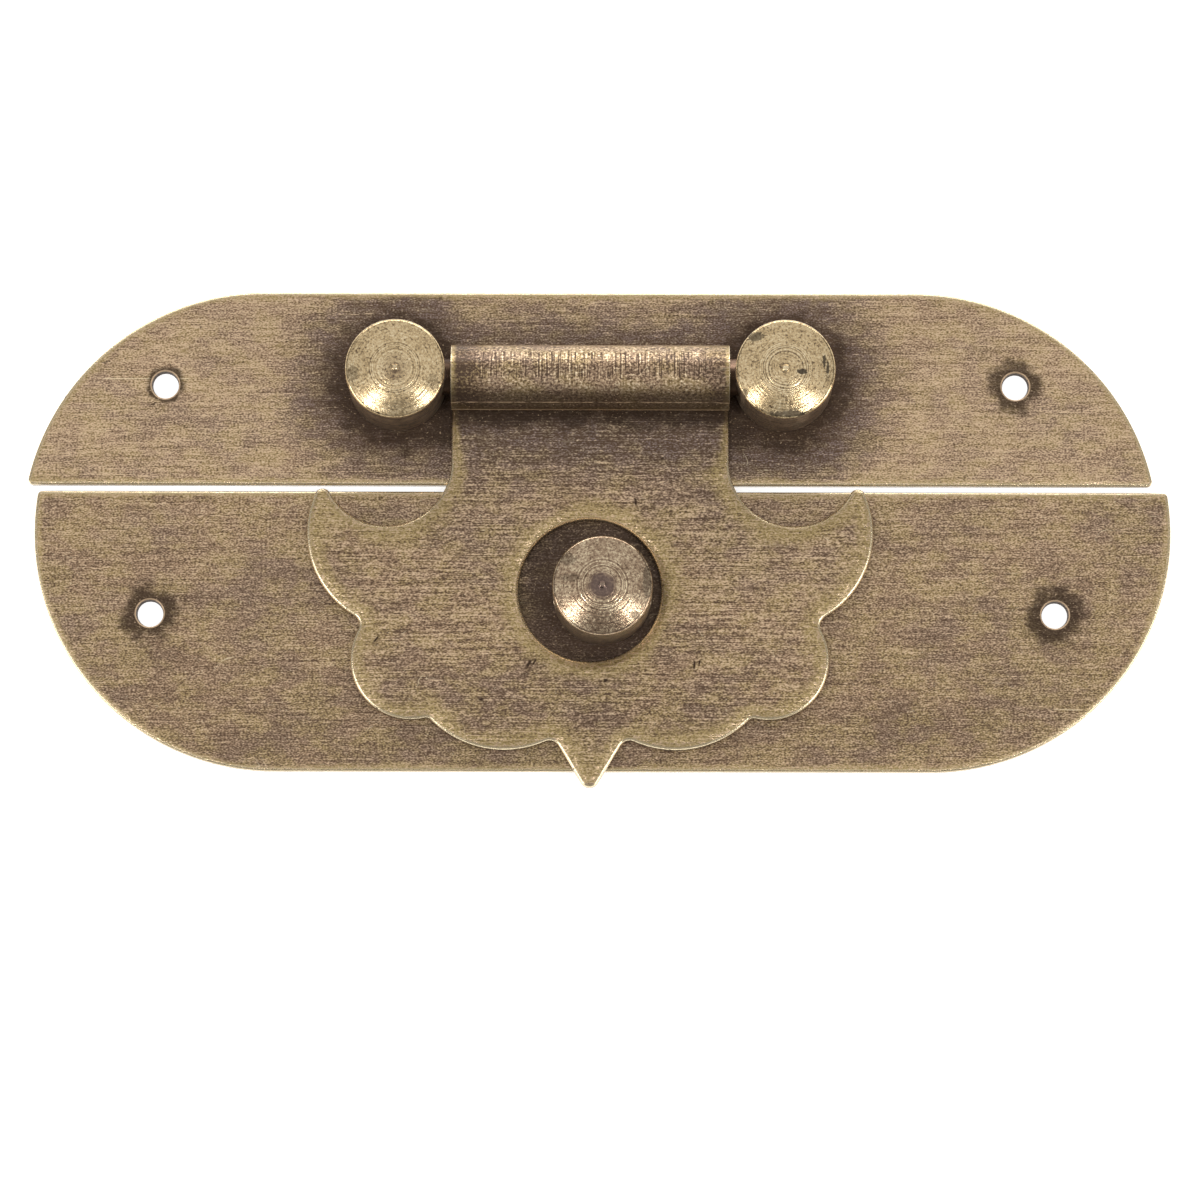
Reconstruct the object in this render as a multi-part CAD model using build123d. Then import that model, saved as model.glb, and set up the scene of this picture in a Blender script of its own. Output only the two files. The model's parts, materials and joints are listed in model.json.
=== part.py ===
# Box latch in aged sheet brass, laid on its back with the front facing +Z.
# Two plates close into one stadium outline: the lid plate carries two turned posts with a hinge pin
# between them, and the box plate carries a turned catch. A lobed hasp of one folded sheet is rolled
# round the pin, and its round hole drops over the catch, where a padlock passes above it.
# The origin is on the lid plate's back face, straight behind the middle of the hinge pin.
# +X is to the right, +Y towards the lid and +Z out of the box. All sizes are in millimetres.

import os
from math import cos, radians, sin, sqrt

from build123d import *

# Plates
plate_thickness = 1.0
outline_length = 100.0
outline_height = 42.5
hinge_below_top_edge = 8.0      # from the lid plate's top edge down to the hinge axis
lid_plate_height = 17.2
parting_gap = 0.55              # between the lid plate and the box plate
box_half_shift = 1.1            # the loose box half lies this far to the right of the lid half
plate_edge_bevel = 0.25

# Nail holes
nail_hole_diameter = 2.4
lid_nail_spacing = 75.0
lid_nails_below_hinge = 0.3
box_nail_spacing = 79.5
box_nails_below_hinge = 20.6

# Turned posts
post_diameter = 8.7
post_height = 7.5               # rim above the plate's front face
post_crown = 0.45               # the top rises this far from its rim to its middle
post_rim_bevel = 0.3
post_nib_diameter = 0.5         # stub left in the middle of the top by the parting tool
post_nib_height = 0.12
hinge_post_spacing = 34.0
catch_below_hinge = 19.0
tenon_diameter = 4.0
tenon_clearance = 0.05          # between a tenon and its hole, all round
rivet_flare = 0.6               # how much wider, all round, the riveted tenon is at the plate's back
rivet_depth = 0.5

# Hinge pin
pin_diameter = 3.2
pin_seat_depth = 3.5            # how far each end goes into its post
pin_seat_clearance = 0.05       # round the pin and past its end

# Hasp sheet and its rolled knuckle
hasp_thickness = 1.1
hasp_above_plate = 0.1
hasp_edge_bevel = 0.3
knuckle_clearance = 0.1         # between the pin and the knuckle's bore, all round
knuckle_end_play = 0.45         # between each end of the knuckle and its post
knuckle_roll_end = 154.0        # degrees, where the roll ends and its flat lip starts
knuckle_lip = 1.1               # flat last stretch of the rolled sheet

# Hasp outline: lobes, notches and tip of the right half, measured from the hinge axis
hasp_reach = 36.0               # hinge axis to the tip
hasp_width = 49.8               # across the two wings
notch_radius = 5.7
notch_below_hinge = 7.2
wing_radius = 8.6
wing_below_hinge = 13.5
wing_point_round = 0.75
wing_cusp_round = 0.9
middle_lobe_radius = 5.35
middle_lobe_x = 15.65
middle_lobe_below_hinge = 24.7
lobe_cusp_round = 0.6
lower_lobe_radius = 9.15
lower_lobe_x = 7.5
lower_lobe_below_hinge = 23.55
tip_shoulder_round = 0.9
tip_half_angle = 31.5           # degrees
tip_round = 0.5
hasp_hole_diameter = 12.5
hasp_hole_below_hinge = 18.65

# Padlock hole across the catch
padlock_hole_diameter = 3.2
padlock_above_hasp = 0.4

# Places that follow from the sizes above
end_radius = outline_height / 2
outline_middle_y = hinge_below_top_edge - end_radius
lid_plate_bottom_y = hinge_below_top_edge - lid_plate_height
box_plate_top_y = lid_plate_bottom_y - parting_gap
post_radius = post_diameter / 2
hinge_post_x = hinge_post_spacing / 2
hinge_gap_half = hinge_post_x - post_radius
knuckle_half = hinge_gap_half - knuckle_end_play
bore_radius = pin_diameter / 2 + knuckle_clearance
knuckle_radius = bore_radius + hasp_thickness
hasp_back_z = plate_thickness + hasp_above_plate
hasp_front_z = hasp_back_z + hasp_thickness
hinge_z = hasp_back_z + knuckle_radius
padlock_z = hasp_front_z + padlock_above_hasp + padlock_hole_diameter / 2


def tenon(radius):
    """Round tenon through a plate, widened at the plate's back where it is riveted over."""
    profile = Polyline(
        (0, 0),
        (radius + rivet_flare, 0),
        (radius, rivet_depth),
        (radius, plate_thickness),
        (0, plate_thickness),
        close=True,
    )
    return revolve(Plane.XZ * make_face(profile), Axis.Z)


def plate(low_y, high_y, nail_spacing, nails_y, post_places):
    """Stretch of the stadium outline between two heights, as a sheet with its holes."""
    stadium = Pos(0, outline_middle_y) * SlotOverall(outline_length, outline_height)
    strip = Pos(0, (low_y + high_y) / 2) * Rectangle(2 * outline_length, high_y - low_y)
    sheet = extrude(stadium & strip, plate_thickness)
    front_rim = sheet.faces().sort_by(Axis.Z)[-1].outer_wire().edges()
    sheet = chamfer(front_rim, plate_edge_bevel)
    nail_hole = extrude(Circle(nail_hole_diameter / 2), plate_thickness)
    for side in (-1, 1):
        sheet -= Pos(side * nail_spacing / 2, nails_y, 0) * nail_hole
    for x, y in post_places:
        sheet -= Pos(x, y, 0) * tenon(tenon_diameter / 2 + tenon_clearance)
    return sheet


def lid_plate():
    """Upper plate, fixed to the lid."""
    posts = [(-hinge_post_x, 0), (hinge_post_x, 0)]
    return plate(lid_plate_bottom_y, hinge_below_top_edge, lid_nail_spacing, -lid_nails_below_hinge, posts)


def box_plate():
    """Lower plate, fixed to the box front."""
    bottom_y = hinge_below_top_edge - outline_height
    catch = [(0, -catch_below_hinge)]
    sheet = plate(bottom_y, box_plate_top_y, box_nail_spacing, -box_nails_below_hinge, catch)
    return Pos(box_half_shift, 0, 0) * sheet


def turned_post():
    """Post with a crowned top, standing on the plate, and its tenon riveted in the plate."""
    rim_z = plate_thickness + post_height
    crown_radius = (post_radius**2 + post_crown**2) / (2 * post_crown)
    crown_centre_z = rim_z + post_crown - crown_radius
    nib_radius = post_nib_diameter / 2
    nib_foot_z = crown_centre_z + sqrt(crown_radius**2 - nib_radius**2)
    nib_top_z = rim_z + post_crown + post_nib_height
    profile = Curve() + [
        Polyline((0, nib_top_z), (0, plate_thickness), (post_radius, plate_thickness), (post_radius, rim_z)),
        RadiusArc((post_radius, rim_z), (nib_radius, nib_foot_z), -crown_radius),
        Polyline((nib_radius, nib_foot_z), (nib_radius, nib_top_z), (0, nib_top_z)),
    ]
    half_section = make_face(profile)
    rim = half_section.vertices().group_by(Axis.X)[-1].sort_by(Axis.Y)[-1]
    half_section = chamfer(rim, post_rim_bevel)
    return revolve(Plane.XZ * half_section, Axis.Z) + tenon(tenon_diameter / 2)


def cross_rod(radius, half_length, z):
    """Round bar along X through the middle of the part, used for the pin and to cut holes."""
    return Pos(0, 0, z) * Rot(0, 90, 0) * extrude(Circle(radius), half_length, both=True)


def hinge_post(side):
    """Hinge post with a blind seat for the pin on the side that faces the knuckle."""
    seat_end = hinge_gap_half + pin_seat_depth + pin_seat_clearance
    seat = cross_rod(pin_diameter / 2 + pin_seat_clearance, seat_end, hinge_z)
    return Pos(side * hinge_post_x, 0, 0) * turned_post() - seat


def hinge_pin():
    """Round pin between the two hinge posts."""
    return cross_rod(pin_diameter / 2, hinge_gap_half + pin_seat_depth, hinge_z)


def catch_post():
    """Catch on the box plate, drilled across for a padlock above the closed hasp."""
    drill = cross_rod(padlock_hole_diameter / 2, post_diameter, padlock_z)
    return Pos(box_half_shift, -catch_below_hinge, 0) * (turned_post() - drill)


def crossing(first, first_distance, second, second_distance):
    """Point at the given distances from two centres, on the left of the way from first to second."""
    way = second - first
    ahead = way.normalized()
    left = Vector(-ahead.Y, ahead.X)
    along = (first_distance**2 - second_distance**2 + way.length**2) / (2 * way.length)
    aside = sqrt(first_distance**2 - along**2)
    return first + ahead * along + left * aside


def first_reach(start, heading, centre, distance):
    """First point at a distance from a centre, on the way from start along a unit heading."""
    offset = start - centre
    ahead = offset.dot(heading)
    return start - heading * (ahead + sqrt(ahead**2 - offset.length**2 + distance**2))


def towards(start, goal, distance):
    """Point at a distance from start, on the line to goal."""
    return start + (goal - start).normalized() * distance


def arc(centre, start, end):
    """Arc of less than half a turn about a centre."""
    radius = (start - centre).length
    return ThreePointArc(start, towards(centre, (start + end) * 0.5, radius), end)


def hasp_outline():
    """Face of the flat hasp: neck, winged shoulders, two lobes a side and a pointed tip."""
    notch = Vector(knuckle_half + notch_radius, -notch_below_hinge)
    wing = Vector(hasp_width / 2 - wing_radius, -wing_below_hinge)
    middle = Vector(middle_lobe_x, -middle_lobe_below_hinge)
    lower = Vector(lower_lobe_x, -lower_lobe_below_hinge)
    tip = Vector(0, tip_round - hasp_reach)

    # Centres of the small rounds, each tangent to its two neighbours
    point = crossing(notch, notch_radius + wing_point_round, wing, wing_radius - wing_point_round)
    wing_cusp = crossing(wing, wing_radius + wing_cusp_round, middle, middle_lobe_radius + wing_cusp_round)
    lobe_cusp = crossing(
        middle, middle_lobe_radius + lobe_cusp_round, lower, lower_lobe_radius + lobe_cusp_round
    )
    tip_side = Vector(sin(radians(tip_half_angle)), cos(radians(tip_half_angle)))
    outwards = Vector(tip_side.Y, -tip_side.X)
    shoulder_line = tip + outwards * (tip_round + tip_shoulder_round)
    shoulder = first_reach(shoulder_line, tip_side, lower, lower_lobe_radius + tip_shoulder_round)

    # Points where one arc runs into the next
    neck_start = Vector(knuckle_half, 0)
    neck_end = Vector(knuckle_half, -notch_below_hinge)
    notch_end = towards(notch, point, notch_radius)
    wing_start = towards(wing, point, wing_radius)
    wing_end = towards(wing, wing_cusp, wing_radius)
    middle_start = towards(middle, wing_cusp, middle_lobe_radius)
    middle_end = towards(middle, lobe_cusp, middle_lobe_radius)
    lower_start = towards(lower, lobe_cusp, lower_lobe_radius)
    lower_end = towards(lower, shoulder, lower_lobe_radius)
    shoulder_end = shoulder - outwards * tip_shoulder_round
    tip_start = tip + outwards * tip_round
    tip_end = Vector(0, -hasp_reach)

    right_half = Curve() + [
        Line(neck_start, neck_end),
        arc(notch, neck_end, notch_end),
        arc(point, notch_end, wing_start),
        arc(wing, wing_start, wing_end),
        arc(wing_cusp, wing_end, middle_start),
        arc(middle, middle_start, middle_end),
        arc(lobe_cusp, middle_end, lower_start),
        arc(lower, lower_start, lower_end),
        arc(shoulder, lower_end, shoulder_end),
        Line(shoulder_end, tip_start),
        arc(tip, tip_start, tip_end),
    ]
    neck_top = Line(neck_start, -neck_start)
    return make_face(right_half + mirror(right_half, about=Plane.YZ) + neck_top)


def knuckle_section():
    """Face of the rolled sheet across the hinge: once round the pin from the leaf, then a flat lip."""
    turn = knuckle_roll_end + 90
    roll_end = radians(knuckle_roll_end)
    outer_end = Vector(knuckle_radius * cos(roll_end), hinge_z + knuckle_radius * sin(roll_end))
    inner_end = Vector(bore_radius * cos(roll_end), hinge_z + bore_radius * sin(roll_end))
    lip = Vector(-sin(roll_end), cos(roll_end)) * knuckle_lip
    section = Curve() + [
        Line((0, hasp_front_z), (0, hasp_back_z)),
        CenterArc((0, hinge_z), knuckle_radius, -90, turn),
        Polyline(outer_end, outer_end + lip, inner_end + lip, inner_end),
        CenterArc((0, hinge_z), bore_radius, -90, turn),
    ]
    return make_face(section)


def hasp():
    """Hasp of one sheet: the lobed leaf with its catch hole, and the knuckle rolled round the pin."""
    hole = Pos(0, -hasp_hole_below_hinge) * Circle(hasp_hole_diameter / 2)
    leaf = Pos(0, 0, hasp_back_z) * extrude(hasp_outline() - hole, hasp_thickness)
    knuckle = extrude(Plane.YZ * knuckle_section(), knuckle_half, both=True)
    sheet = leaf + knuckle
    front_edges = sheet.edges().filter_by_position(Axis.Z, hasp_front_z, hasp_front_z)
    leaf_rim = front_edges.filter_by(lambda edge: edge.center().Y < 0)
    return chamfer(leaf_rim, hasp_edge_bevel)


nodes = {
    "lid_plate": lid_plate(),
    "box_plate": box_plate(),
    "left_hinge_post": hinge_post(-1),
    "right_hinge_post": hinge_post(1),
    "hinge_pin": hinge_pin(),
    "hasp": hasp(),
    "catch_post": catch_post(),
}

os.makedirs("parts", exist_ok=True)
for name, solid in nodes.items():
    export_step(solid, f"parts/{name}.step")
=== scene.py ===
import json
import math

import bmesh
import bpy
import numpy as np
from bpy.props import FloatProperty, FloatVectorProperty, IntProperty, PointerProperty
from mathutils import Matrix, Vector, kdtree
from mathutils.geometry import delaunay_2d_cdt


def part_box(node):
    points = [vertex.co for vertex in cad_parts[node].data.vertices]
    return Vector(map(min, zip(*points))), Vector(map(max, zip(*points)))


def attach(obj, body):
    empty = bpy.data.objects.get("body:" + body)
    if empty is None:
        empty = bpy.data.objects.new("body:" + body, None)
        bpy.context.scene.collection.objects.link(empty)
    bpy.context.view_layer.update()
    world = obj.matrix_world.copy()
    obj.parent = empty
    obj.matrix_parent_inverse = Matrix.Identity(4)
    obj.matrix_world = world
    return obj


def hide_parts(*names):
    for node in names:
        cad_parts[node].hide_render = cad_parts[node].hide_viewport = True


bl_info = {
    "name": "Box latch",
    "version": (1, 0, 0),
    "blender": (4, 5, 0),
    "location": "View3D > Sidebar > Latch",
    "description": "Builds a box latch in antiqued brass and sets it on a pale stage",
    "category": "Object",
}

# Frame of the latch, in metres. Meshes are worked out in millimetres and scaled once at the end.
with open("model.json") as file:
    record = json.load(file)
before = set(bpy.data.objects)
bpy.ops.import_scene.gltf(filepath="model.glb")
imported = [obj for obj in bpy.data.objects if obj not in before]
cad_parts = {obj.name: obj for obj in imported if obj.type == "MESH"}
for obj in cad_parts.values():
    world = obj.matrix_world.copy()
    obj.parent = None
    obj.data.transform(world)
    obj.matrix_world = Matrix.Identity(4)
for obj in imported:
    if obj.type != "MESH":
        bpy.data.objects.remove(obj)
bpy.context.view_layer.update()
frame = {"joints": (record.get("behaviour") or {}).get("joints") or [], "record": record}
MM = 0.001
RECORD = frame["record"]
BODY_OF = {node: body for body, nodes in RECORD["behaviour"]["bodies"].items() for node in nodes}
MOUNTS = {mount["name"]: mount for mount in RECORD["mounts"]}
HINGE = next(joint for joint in frame["joints"] if joint["name"] == "hasp_swing")

# Small sizes of the edges, in millimetres
PLATE_BACK_ROUND = 0.08
HASP_BACK_ROUND = 0.1
KNUCKLE_CORNER = 0.15
TENON_PLAY = 0.05
NAIL_EDGE = {"roll": 0.3, "sink": 0.02, "tight": 0.14, "back_round": 0.05}
# Torn back of a nail hole, as inset and height above the plate's back
NAIL_TEAR = ((-0.05, 0.3), (-0.08, 0.06), (-0.02, 0.0), (0.1, 0.0))
RIVET_EDGE = 0.05
# Neck of the hasp: places along the sheet between which its edge rounds shrink, and their scale there
NECK_Y = (-4.0, -1.0)
NECK_ROUNDS = (1.0, 0.14)
# Wear of the hasp's edge: places along the sheet from the wings to the hinge, and how much farther away
# the edge counts as there, so that the wear fades out
WEAR_Y = (-8.0, -5.5, 0.0)
WEAR_FACTOR = (1.0, 2.4, 4.0)
# Dirt and painted shade under the knuckle on the lid plate, and the knuckle's painted shadow on the hasp's
# leaf:
# how far it goes below and above the hinge, and the distance from it that counts in its middle, on the lid
# plate and on the hasp's leaf
DIRT_AND_SHADE_BELOW = 5.0
DIRT_AND_SHADE_ABOVE = 2.0
LID_DIRT_AND_SHADE = 0.9
LEAF_SHADOW_BELOW = 3.2
LEAF_SHADOW = 0.3
# Distance that stands for nothing near
FAR = 99.0

# Angles, shares and counts that keep the edge rounds and the meshes even
LARGEST_TURN = 0.2
HOLE_STEP = 0.12
ROW_PITCH = 0.866
EDGE_CLEAR = 0.6
ROLL_RINGS = 6
ROUND_RINGS = 7
BACK_RINGS = 3
SHEET_CREASE = math.radians(40)
TURNED_CREASE = math.radians(38)
ROOM_USED = 0.75
ROUND_CHANGE = 0.06
ROUND_PASSES = 24
BACK_COARSER = 2.5
# Points closer than this, in metres, are one
MERGE_DISTANCE = 1e-7
# Middle tone of the brushed grain
MIDDLE_GRAIN = 0.48

# Looks of the sheets. Single marks are x, y, length, width and angle, in millimetres and radians. The dark
# round a bore or a foot is reach, core as a share of it and strength, and dusk is reach and strength. Round a
# bore the dark is dirt; round a foot and under the knuckle it is dirt and painted shade on the plates, and
# the knuckle's painted shadow on the hasp. Dusk dims and greys the sheet over the same places in the same
# mix.
LID_LOOK = {
    "seed": 1.0, "edge_width": 0.6, "rim": 0.5, "lift": 0.17, "lined": 0.85,
    "bore": (1.8, 0.25, 0.86), "foot": (2.9, 0.2, 0.78), "dusk": (8.3, 0.58),
    "nicks": (), "lines": ((-39.2, 0.25, 8.0, 0.12, 0.0),),
}
BOX_LOOK = {
    **LID_LOOK, "seed": 2.0, "lift": -0.01, "foot": (4.4, 0.6, 0.64), "dusk": (4.0, 0.39),
    "lines": ((40.6, -19.6, 2.2, 0.09, 0.65),),
}
HASP_LOOK = {
    "seed": 3.0, "edge_width": 1.75, "rim": 0.75, "lift": 0.0, "lined": 1.5,
    # On the hasp, foot and dusk paint the shadow that the knuckle casts on its neck
    "bore": None, "foot": (2.2, 0.1, 0.86), "dusk": (10.0, 0.39), "lines": (),
    "nicks": (
        (-18.7, -23.0, 0.9, 0.26, 0.9), (-5.3, -25.1, 1.1, 0.34, 1.0), (-4.85, -25.0, 0.9, 0.22, 1.0),
        (4.0, -10.8, 1.0, 0.30, 1.6), (9.15, -25.2, 1.1, 0.28, 1.5), (1.4, -26.6, 0.5, 0.42, 0.0),
        (-9.5, -28.3, 0.6, 0.4, 0.2), (9.6, -25.0, 0.6, 0.24, 1.4),
    ),
}
# Plates: piece, node, whether it is the upper one, nail holes, how clean each hole is, posts and look
PLATES = (
    (
        "lid_sheet", "lid_plate", True, "lid_nail_holes", (2.6, 1.0),
        ("left_hinge_post", "right_hinge_post"), LID_LOOK,
    ),
    ("box_sheet", "box_plate", False, "box_nail_holes", (0.9, 0.9), ("catch_post",), BOX_LOOK),
)
# Posts: piece, node, seed, colour of the top and dullness of its middle
POSTS = (
    ("left_turned_post", "left_hinge_post", 11, "top", 0.12),
    ("right_turned_post", "right_hinge_post", 23, "top", 0.0),
    ("catch_turned_post", "catch_post", 37, "catch_top", 0.4),
)
# Stains on the tops of the posts, as x, y, width and height in millimetres and strength
STAINS = {
    "left_hinge_post": ((-3.7, -0.5, 0.5, 0.9, 0.45), (3.2, -1.3, 0.6, 0.8, 0.4), (0.3, -3.3, 1.2, 0.4, 0.4)),
    "right_hinge_post": (
        (1.35, -0.3, 0.42, 0.24, 0.95), (3.35, 0.75, 0.14, 0.6, 0.9), (3.65, 0.0, 0.14, 0.7, 0.9),
        (-2.7, 2.75, 0.75, 0.4, 0.75), (0.3, -3.95, 1.7, 0.34, 0.85), (-3.6, -2.2, 0.3, 0.4, 0.7),
    ),
    "catch_post": (
        (3.85, 0.2, 0.35, 1.5, 0.6), (2.9, -2.6, 0.5, 0.4, 0.5),
        (-2.9, 2.2, 0.9, 0.5, 0.45), (-2.9, 0.6, 0.8, 0.3, 0.4),
    ),
}
PIN_SEED = 4.0
PIN_SEGMENTS = 64
DRILL_SEGMENTS = 72
ALONG_X = (0.0, math.pi / 2, 0.0)


def box_mm(node):
    """Lowest and highest corner of a node at rest, in millimetres."""
    low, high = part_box(node)
    return low / MM, high / MM


def in_mm(settings):
    """Lengths of a group of settings in millimetres, by name."""
    kinds = settings.bl_rna.properties
    keys = type(settings).__annotations__
    return {key: getattr(settings, key) / MM for key in keys if kinds[key].unit == "LENGTH"}


def size(name, description, millimetres):
    """Length that a user may change, given in millimetres."""
    return FloatProperty(
        name=name, description=description, default=millimetres * MM, unit="LENGTH", precision=6
    )


def lean(name, description, degrees):
    """Angle that a user may change, given in degrees."""
    return FloatProperty(name=name, description=description, default=math.radians(degrees), subtype="ANGLE")


def tint(name, description, colour):
    """Colour that a user may change, in linear light."""
    return FloatVectorProperty(
        name=name, description=description, default=colour, size=3, min=0.0, max=1.0, subtype="COLOR"
    )


def share(name, description, value):
    """Part of one that a user may change."""
    return FloatProperty(
        name=name, description=description, default=value, min=0.0, max=1.0, subtype="FACTOR"
    )


def brightness(name, description, value):
    """Power of a light that a user may change."""
    return FloatProperty(name=name, description=description, default=value, min=0.0)


class LatchSheetSizes(bpy.types.PropertyGroup):
    """Sizes of the two plates and the hasp that their boxes don't give."""

    mesh_step: size("Mesh step", "Distance between the points of a sheet's mesh", 0.42)
    corner_round: size("Corner round", "Radius of a plate's corners at the parting", 0.45)
    plate_roll: size("Plate edge roll", "How far in a plate's edge slopes down", 0.6)
    plate_sink: size("Plate edge sink", "How far down the slope goes", 0.04)
    plate_round: size("Plate edge round", "Tight round at a plate's edge", 0.2)
    hasp_roll: size("Hasp edge roll", "How far in the hasp's edge slopes down", 1.0)
    hasp_sink: size("Hasp edge sink", "How far down the slope goes", 0.09)
    hasp_round: size("Hasp edge round", "Tight round at the hasp's edge", 0.36)
    hasp_thickness: size("Hasp thickness", "Thickness of the hasp's sheet", 1.1)
    roll_end: lean("Roll end", "Where the knuckle's roll ends and its flat lip starts", 154.0)
    lip: size("Knuckle lip", "Flat last stretch of the rolled sheet", 1.1)
    knuckle_half: size("Knuckle half", "Half the length of the knuckle", 12.2)
    notch_radius: size("Notch radius", "Hollow beside the neck", 5.7)
    notch_below: size("Notch height", "Middle of the hollow below the hinge", 7.2)
    wing_radius: size("Wing radius", "Winged shoulder", 8.6)
    wing_below: size("Wing height", "Middle of the shoulder below the hinge", 13.5)
    wing_point: size("Wing point", "Radius of the wing's point", 0.75)
    wing_cusp: size("Wing cusp", "Radius between the wing and the middle lobe", 0.9)
    middle_radius: size("Middle lobe radius", "Middle lobe", 5.35)
    middle_x: size("Middle lobe place", "Middle of the lobe from the latch's middle", 15.65)
    middle_below: size("Middle lobe height", "Middle of the lobe below the hinge", 24.7)
    lobe_cusp: size("Lobe cusp", "Radius between the two lobes", 0.6)
    lower_radius: size("Lower lobe radius", "Lower lobe", 9.15)
    lower_x: size("Lower lobe place", "Middle of the lobe from the latch's middle", 7.5)
    lower_below: size("Lower lobe height", "Middle of the lobe below the hinge", 23.55)
    shoulder: size("Tip shoulder", "Radius between the lower lobe and the tip", 0.9)
    tip_angle: lean("Tip half angle", "Half the angle of the tip", 31.5)
    tip_round: size("Tip round", "Radius of the tip", 0.85)
    hole_radius: size("Catch hole radius", "Round hole that drops over the catch", 6.25)
    hole_below: size("Catch hole height", "Middle of the hole below the hinge", 18.65)


class LatchTurnedSizes(bpy.types.PropertyGroup):
    """Sizes of the turned posts and the pin."""

    segments: IntProperty(
        name="Segments", description="Facets round a turned piece", default=160, min=24, max=256
    )
    crown: size("Crown", "Rise of a post's top from its rim to its middle", 0.45)
    rim_round: size("Rim round", "Radius of a post's rim", 0.28)
    nib_radius: size("Nib radius", "Stub in the middle of a post's top", 0.27)
    nib_height: size("Nib height", "Rise of the stub", 0.12)
    tenon_radius: size("Tenon radius", "Tenon through the plate", 2.0)
    rivet_flare: size("Rivet flare", "How much wider the riveted tenon is at the plate's back", 0.6)
    rivet_depth: size("Rivet depth", "Depth of the riveted flare", 0.5)
    ring_height: size("Ring height", "Height of the turning rings on a post's top", 0.0022)
    seat_radius: size("Pin seat radius", "Blind seat for the pin in a hinge post", 1.65)
    seat_play: size("Pin seat play", "Room past the end of the pin", 0.05)
    pin_bevel: size("Pin bevel", "Bevel at the ends of the pin", 0.2)


class LatchFinish(bpy.types.PropertyGroup):
    """Colours of the antiqued brass."""

    dark: tint("Dark brown", "Darkest streaks of the antiqued ground", (0.105, 0.062, 0.036))
    brown: tint("Brown", "Middle tone of the sheets", (0.285, 0.186, 0.110))
    gold: tint("Gold", "Streaks worn back to the brass", (0.580, 0.420, 0.270))
    grey: tint("Grey", "Purplish grey where the brown is thick", (0.180, 0.133, 0.126))
    olive: tint("Olive", "Worn patches and edges", (0.345, 0.255, 0.100))
    bright: tint("Bright brass", "Scratches and outermost edges", (0.860, 0.725, 0.490))
    # Dark brown of dirt round holes and feet, and of painted shade in the catch's well, on cut walls and
    # under the knuckle and the pin
    grime_and_shade: tint("Grime", "Dark brown in corners and round holes", (0.046, 0.027, 0.016))
    top: tint("Post top", "Middle tone of a post's worn top", (0.580, 0.430, 0.235))
    catch_top: tint("Catch top", "Pinker middle tone of the catch's top", (0.350, 0.245, 0.160))
    side: tint("Post side", "Antiqued side of a turned post", (0.500, 0.385, 0.270))
    pin: tint("Pin bronze", "Drawn pin", (0.240, 0.150, 0.105))
    metal: share("Metal", "How metallic the antiqued brass is", 0.92)
    lacquer: share("Lacquer", "Thin clear lacquer over the sheets", 0.3)


class LatchStage(bpy.types.PropertyGroup):
    """Camera, floor and lights."""

    lens: FloatProperty(
        name="Lens", description="Focal length for a 36 mm frame, in millimetres", default=174.85
    )
    distance: size("Distance", "Camera to the middle of the view", 512.9)
    target: FloatVectorProperty(
        name="Target", description="Middle of the view", default=(0.000888, -0.019235, 0.0),
        subtype="TRANSLATION", unit="LENGTH",
    )
    tilt: lean("Tilt", "Camera's lean from straight above towards the tip of the hasp", 7.09)
    roll: lean("Roll", "Camera's turn about its own axis", 0.12)
    floor: tint("Floor", "Plain pale floor", (0.9, 0.9, 0.9))
    floor_glow: share("Floor glow", "Own light of the floor, which keeps it plain white", 0.75)
    surround: brightness("Surround", "Strength of the even light all round", 0.34)
    overhead: brightness("Overhead light", "Power of the broad light above", 1.55)
    side_lights: brightness("Side lights", "Power of each box light", 0.36)
    low_lights: brightness("Low lights", "Power of each low light at the sides", 3.6)
    rear_light: brightness("Rear light", "Power of the strip behind the lid", 4.2)


# Flat outlines as complex numbers in millimetres, x along the hinge and y towards the lid


def crossing(first, first_distance, second, second_distance):
    """Point at the given distances from two centres, on the left of the way from first to second."""
    way = second - first
    along = (first_distance**2 - second_distance**2 + abs(way) ** 2) / (2 * abs(way))
    return first + way / abs(way) * complex(along, math.sqrt(first_distance**2 - along**2))


def towards(start, goal, distance):
    """Point at a distance from start, on the line to goal."""
    return start + (goal - start) / abs(goal - start) * distance


def straight(start, end, step):
    """Points and outward normals of a line that has the sheet on its left, without its last point."""
    count = max(1, math.ceil(abs(end - start) / step))
    points = start + (end - start) * np.arange(count) / count
    return points, np.full(count, -1j * (end - start) / abs(end - start))


def bend(centre, start, end, outward, step, turn=None):
    """Points and outward normals of an arc, without its last point.

    outward is 1 for a bulge and -1 for a hollow.
    """
    radius = abs(start - centre)
    if turn is None:
        turn = np.angle((end - centre) / (start - centre))
    count = max(3, math.ceil(abs(turn) * radius / step), math.ceil(abs(turn) / LARGEST_TURN))
    rays = (start - centre) / radius * np.exp(1j * turn * np.arange(count) / count)
    return centre + radius * rays, outward * rays


def joined(parts):
    """One run of points and normals from several."""
    return np.concatenate([part[0] for part in parts]), np.concatenate([part[1] for part in parts])


def round_hole(centre, radius, step):
    """Points and normals of a round hole, with the sheet on the left."""
    start = centre + radius
    return bend(centre, start, start, -1, min(step, radius * HOLE_STEP), -2 * math.pi)


def both_sides(right, top_y):
    """Closed outline from its right half, which runs from the bottom to the top of the middle line."""
    points, normals = right[0][1:], right[1][1:]
    left = -np.conj(points[::-1]), -np.conj(normals[::-1])
    return joined([right, ([complex(0, top_y)], [1j]), left])


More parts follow.
